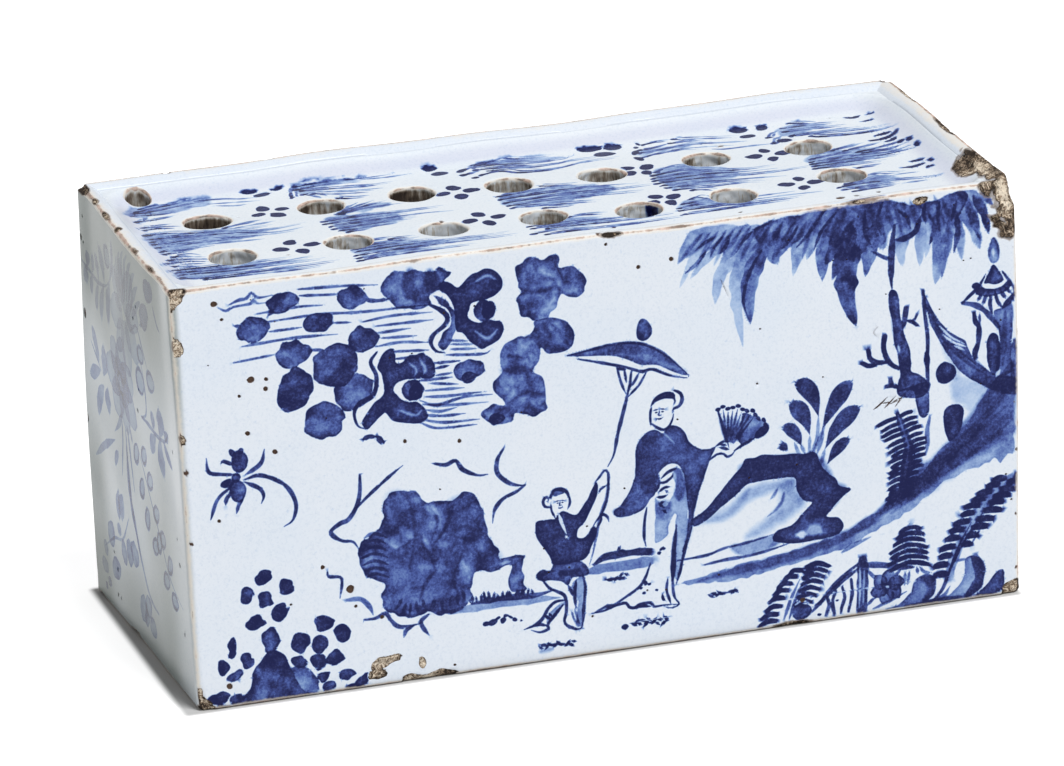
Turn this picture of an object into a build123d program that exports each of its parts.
"""A flower brick: a slab-built, tin-glazed earthenware vase with a sunk, pierced top.

Each rolled slab of clay is a piece of its own: the base, four walls mitred at the corners and the
pierced top, which drops onto a shoulder cut inside the walls. The potter closes the inside angles
with soft coils of clay: one round the foot of the rim, one round the floor and one up each corner.
The length runs along X, the width along Y, and the brick stands on Z = 0 with its centre at the
origin. The decorated front faces -Y.
"""

import os

from build123d import *

# Outside of the brick
length = 152.0
width = 67.0
height = 77.0
corner_radius = 1.4  # worn upright corners
foot_edge_radius = 0.9
rim_edge_radius = 0.8

# Slabs
wall_thickness = 5.0
base_thickness = 5.0
top_thickness = 5.0
rim_thickness = 3.2  # the walls are pared thinner above the shoulder
rim_height = 3.5  # how far the rim stands above the pierced top

# Coils of clay pressed into the inside angles
rim_coil_radius = 2.6
floor_coil_radius = 4.0

# Stem holes, punched by eye in two rows of seven, so neither spaced nor lined up exactly
stem_hole_diameter = 8.2
stem_hole_lip = 0.5  # bevel of the upper edge of each hole
back_row_x = (-57.8, -36.9, -20.2, -2.9, 14.0, 33.9, 52.8)
back_row_y = (12.4, 13.0, 13.3, 10.8, 9.9, 11.2, 10.3)
front_row_x = (-58.6, -37.9, -20.5, -2.5, 14.2, 31.8, 53.1)
front_row_y = (-8.6, -8.8, -8.3, -9.0, -12.0, -11.4, -8.0)

# Small vent in the back left corner of the sunk top
vent_diameter = 4.4
vent_from_left = 9.6  # from the outside of the left end to its centre
vent_from_back = 5.6  # from the outside of the back to its centre

# Broken front right corner of the rim: two shallow flakes, each part of a long ellipsoid
rim_flake_length = 28.8
rim_flake_radius = 4.25
rim_flake_from_front = 11.5
rim_flake_from_end = 2.0
rim_flake_above_rim = 2.55
rim_flake_direction = (0.04, -1.0, -0.03)
edge_flake_length = 38.0
edge_flake_radius = 8.9
edge_flake_from_end = 1.5
edge_flake_beyond_front = 7.3

# What follows from the sizes above
top_of_plate = height - rim_height
shoulder = top_of_plate - top_thickness
cavity_length = length - 2 * wall_thickness
cavity_width = width - 2 * wall_thickness
recess_length = length - 2 * rim_thickness
recess_width = width - 2 * rim_thickness
vent_place = (-length / 2 + vent_from_left, width / 2 - vent_from_back)


def stem_hole_places():
    """Centres of the stem holes, the back row first."""
    return list(zip(back_row_x, back_row_y)) + list(zip(front_row_x, front_row_y))


def flake(centre, direction, flake_length, radius):
    """A long rounded scoop, an ellipse turned about its own long axis, that knocks clay off an edge."""
    with BuildPart() as upright_scoop:
        with BuildSketch(Plane.XZ):
            Ellipse(radius, flake_length / 2)
            split(bisect_by=Plane.YZ)
        revolve(axis=Axis.Z)
    with BuildPart() as scoop:
        with Locations(Plane(centre, z_dir=direction)):
            add(upright_scoop.part)
    return scoop.part


def seam_coil(room_length, room_width, floor, radius):
    """Clay left in the angle between a floor and the walls round it, hollowed by a fingertip."""
    with BuildPart() as hollow:
        with BuildSketch(Plane.XY.offset(floor)):
            Rectangle(room_length, room_width)
        extrude(amount=3 * radius)
        upright = hollow.edges().filter_by(Axis.Z)
        lowest = hollow.edges().group_by(Axis.Z)[0]
        fillet(upright + lowest, radius)
    with BuildPart() as coil:
        with BuildSketch(Plane.XY.offset(floor)):
            Rectangle(room_length, room_width)
        extrude(amount=radius)
        add(hollow.part, mode=Mode.SUBTRACT)
    return coil.part


# The two flakes that the broken corner has lost
rim_flake = flake(
    (length / 2 - rim_flake_from_end, -width / 2 + rim_flake_from_front, height + rim_flake_above_rim),
    rim_flake_direction,
    rim_flake_length,
    rim_flake_radius,
)
edge_flake = flake(
    (length / 2 - edge_flake_from_end, -width / 2 - edge_flake_beyond_front, height),
    (0, 0, -1),
    edge_flake_length,
    edge_flake_radius,
)

# All four walls as one ring, which the mitres then part
with BuildPart() as wall_ring:
    with BuildSketch(Plane.XY.offset(base_thickness)):
        RectangleRounded(length, width, corner_radius)
    extrude(amount=height - base_thickness)
    with BuildSketch(Plane.XY.offset(base_thickness)):
        Rectangle(cavity_length, cavity_width)
    extrude(amount=shoulder - base_thickness, mode=Mode.SUBTRACT)
    with BuildSketch(Plane.XY.offset(shoulder)):
        Rectangle(recess_length, recess_width)
    extrude(amount=height - shoulder, mode=Mode.SUBTRACT)
    fillet(wall_ring.edges().group_by(Axis.Z)[-1], rim_edge_radius)
    add(rim_flake, mode=Mode.SUBTRACT)
    add(edge_flake, mode=Mode.SUBTRACT)

# Each mitre runs in from a corner at 45 degrees, and two of them meet on the long centre line
meeting = length / 2 - width / 2
front_outline = ((-length / 2, -width / 2), (length / 2, -width / 2), (meeting, 0), (-meeting, 0))
left_outline = ((-length / 2, -width / 2), (-meeting, 0), (-length / 2, width / 2))

with BuildPart() as front_wall:
    add(wall_ring.part)
    with BuildSketch(Plane.XY):
        Polygon(*front_outline, align=None)
    extrude(amount=height, mode=Mode.INTERSECT)
front_wall.part.label = "front_wall"

with BuildPart() as back_wall:
    add(wall_ring.part)
    with BuildSketch(Plane.XY):
        Polygon(*[(x, -y) for x, y in front_outline], align=None)
    extrude(amount=height, mode=Mode.INTERSECT)
back_wall.part.label = "back_wall"

with BuildPart() as left_end_wall:
    add(wall_ring.part)
    with BuildSketch(Plane.XY):
        Polygon(*left_outline, align=None)
    extrude(amount=height, mode=Mode.INTERSECT)
left_end_wall.part.label = "left_end_wall"

with BuildPart() as right_end_wall:
    add(wall_ring.part)
    with BuildSketch(Plane.XY):
        Polygon(*[(-x, y) for x, y in left_outline], align=None)
    extrude(amount=height, mode=Mode.INTERSECT)
right_end_wall.part.label = "right_end_wall"

# The slab that the walls stand on
with BuildPart() as base_slab:
    with BuildSketch():
        RectangleRounded(length, width, corner_radius)
    extrude(amount=base_thickness)
    fillet(base_slab.edges().group_by(Axis.Z)[0], foot_edge_radius)
base_slab.part.label = "base_slab"

# The pierced slab, which rests on the shoulder inside the walls
with BuildPart() as pierced_top:
    with BuildSketch(Plane.XY.offset(shoulder)):
        Rectangle(recess_length, recess_width)
    extrude(amount=top_thickness)
    with Locations(*[(x, y, top_of_plate) for x, y in stem_hole_places()]):
        Hole(stem_hole_diameter / 2, depth=top_thickness)
    with Locations((*vent_place, top_of_plate)):
        Hole(vent_diameter / 2, depth=top_thickness)
    upper_edges = pierced_top.edges().group_by(Axis.Z)[-1]
    stem_hole_lips = upper_edges.filter_by(
        lambda e: e.geom_type == GeomType.CIRCLE and abs(e.radius - stem_hole_diameter / 2) < 0.01
    )
    chamfer(stem_hole_lips, stem_hole_lip)
pierced_top.part.label = "pierced_top"

# The cove round the foot of the rim, which the vent and the broken corner also go through
with BuildPart() as rim_coil:
    add(seam_coil(recess_length, recess_width, top_of_plate, rim_coil_radius))
    with Locations((*vent_place, top_of_plate + rim_coil_radius)):
        Hole(vent_diameter / 2, depth=rim_coil_radius)
    add(rim_flake, mode=Mode.SUBTRACT)
    add(edge_flake, mode=Mode.SUBTRACT)
rim_coil.part.label = "rim_coil"

# The coil round the inside of the floor
with BuildPart() as floor_coil:
    add(seam_coil(cavity_length, cavity_width, base_thickness, floor_coil_radius))
floor_coil.part.label = "floor_coil"

# The coil up each inside corner, from the floor coil to the underside of the pierced top
with BuildPart() as corner_coils:
    with BuildSketch(Plane.XY.offset(base_thickness + floor_coil_radius)):
        Rectangle(cavity_length, cavity_width)
        RectangleRounded(cavity_length, cavity_width, floor_coil_radius, mode=Mode.SUBTRACT)
    extrude(amount=shoulder - base_thickness - floor_coil_radius)
corner_coils.part.label = "corner_coils"

pieces = (
    front_wall,
    back_wall,
    left_end_wall,
    right_end_wall,
    base_slab,
    pierced_top,
    rim_coil,
    floor_coil,
    corner_coils,
)
os.makedirs("parts", exist_ok=True)
for piece in pieces:
    export_step(piece.part, f"parts/{piece.part.label}.step")
